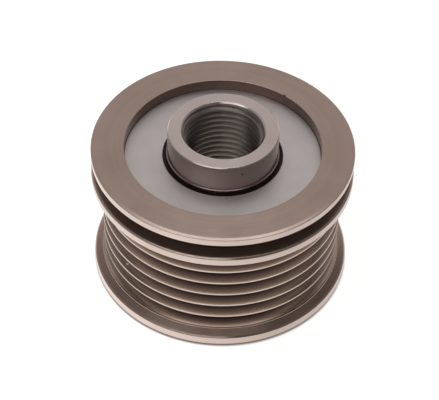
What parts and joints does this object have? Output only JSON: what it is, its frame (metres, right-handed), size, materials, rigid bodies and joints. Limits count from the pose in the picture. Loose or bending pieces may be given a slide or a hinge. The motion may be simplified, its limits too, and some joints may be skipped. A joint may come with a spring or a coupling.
{
  "type": "alternator pulley",
  "caption": "Overrunning belt pulley: a ribbed sheave with a plain slot, on roller bearings and a roller clutch round a threaded hub whose collar stands proud at the rear.",
  "frame": {"origin": "centre of the sheave's front face, the face it stands on", "axes": "+Z along the pulley's axis, from the front end with the tool socket to the rear end that faces the alternator"},
  "size_m": [0.0584, 0.0584, 0.0381],
  "materials": {
    "sheave_steel": "fine turned, dull warm grey coating",
    "hub_steel": "fine turned, satin",
    "cover_steel": "matt sheet steel",
    "bearing_steel": "ground",
    "spring_steel": "bright strip",
    "seal_rubber": "matt",
    "cage_plastic": "moulded"
  },
  "bodies": {
    "hub": {"hub": "hub_steel", "clutch_star_wheel": "bearing_steel", "clutch_roller_1": "bearing_steel", "clutch_roller_2": "bearing_steel", "clutch_roller_3": "bearing_steel", "clutch_roller_4": "bearing_steel", "clutch_roller_5": "bearing_steel", "clutch_roller_6": "bearing_steel", "clutch_roller_7": "bearing_steel", "clutch_roller_8": "bearing_steel", "clutch_spring_1": "spring_steel", "clutch_spring_2": "spring_steel", "clutch_spring_3": "spring_steel", "clutch_spring_4": "spring_steel", "clutch_spring_5": "spring_steel", "clutch_spring_6": "spring_steel", "clutch_spring_7": "spring_steel", "clutch_spring_8": "spring_steel"},
    "sheave": {"sheave": "sheave_steel", "outer_race": "bearing_steel", "rear_cover_plate": "cover_steel", "front_cover_plate": "cover_steel", "rear_seal": "seal_rubber", "front_seal": "seal_rubber"},
    "rear_roller_set": {"rear_roller_cage": "cage_plastic", "rear_roller_01": "bearing_steel", "rear_roller_02": "bearing_steel", "rear_roller_03": "bearing_steel", "rear_roller_04": "bearing_steel", "rear_roller_05": "bearing_steel", "rear_roller_06": "bearing_steel", "rear_roller_07": "bearing_steel", "rear_roller_08": "bearing_steel", "rear_roller_09": "bearing_steel", "rear_roller_10": "bearing_steel"},
    "front_roller_set": {"front_roller_cage": "cage_plastic", "front_roller_01": "bearing_steel", "front_roller_02": "bearing_steel", "front_roller_03": "bearing_steel", "front_roller_04": "bearing_steel", "front_roller_05": "bearing_steel", "front_roller_06": "bearing_steel", "front_roller_07": "bearing_steel", "front_roller_08": "bearing_steel", "front_roller_09": "bearing_steel", "front_roller_10": "bearing_steel"}
  },
  "joints": [
    {"name": "sheave_spin", "type": "hinge", "parent": "hub", "child": "sheave", "pos_m": [0, 0, 0], "axis": [0, 0, 1], "continuous": true},
    {"name": "rear_rollers_orbit", "type": "hinge", "parent": "hub", "child": "rear_roller_set", "pos_m": [0, 0, 0], "axis": [0, 0, 1], "continuous": true},
    {"name": "front_rollers_orbit", "type": "hinge", "parent": "hub", "child": "front_roller_set", "pos_m": [0, 0, 0], "axis": [0, 0, 1], "continuous": true}
  ],
  "couplings": [
    {"joint": "rear_rollers_orbit", "follows": "sheave_spin", "ratio": 0.56956},
    {"joint": "front_rollers_orbit", "follows": "sheave_spin", "ratio": 0.56956}
  ]
}
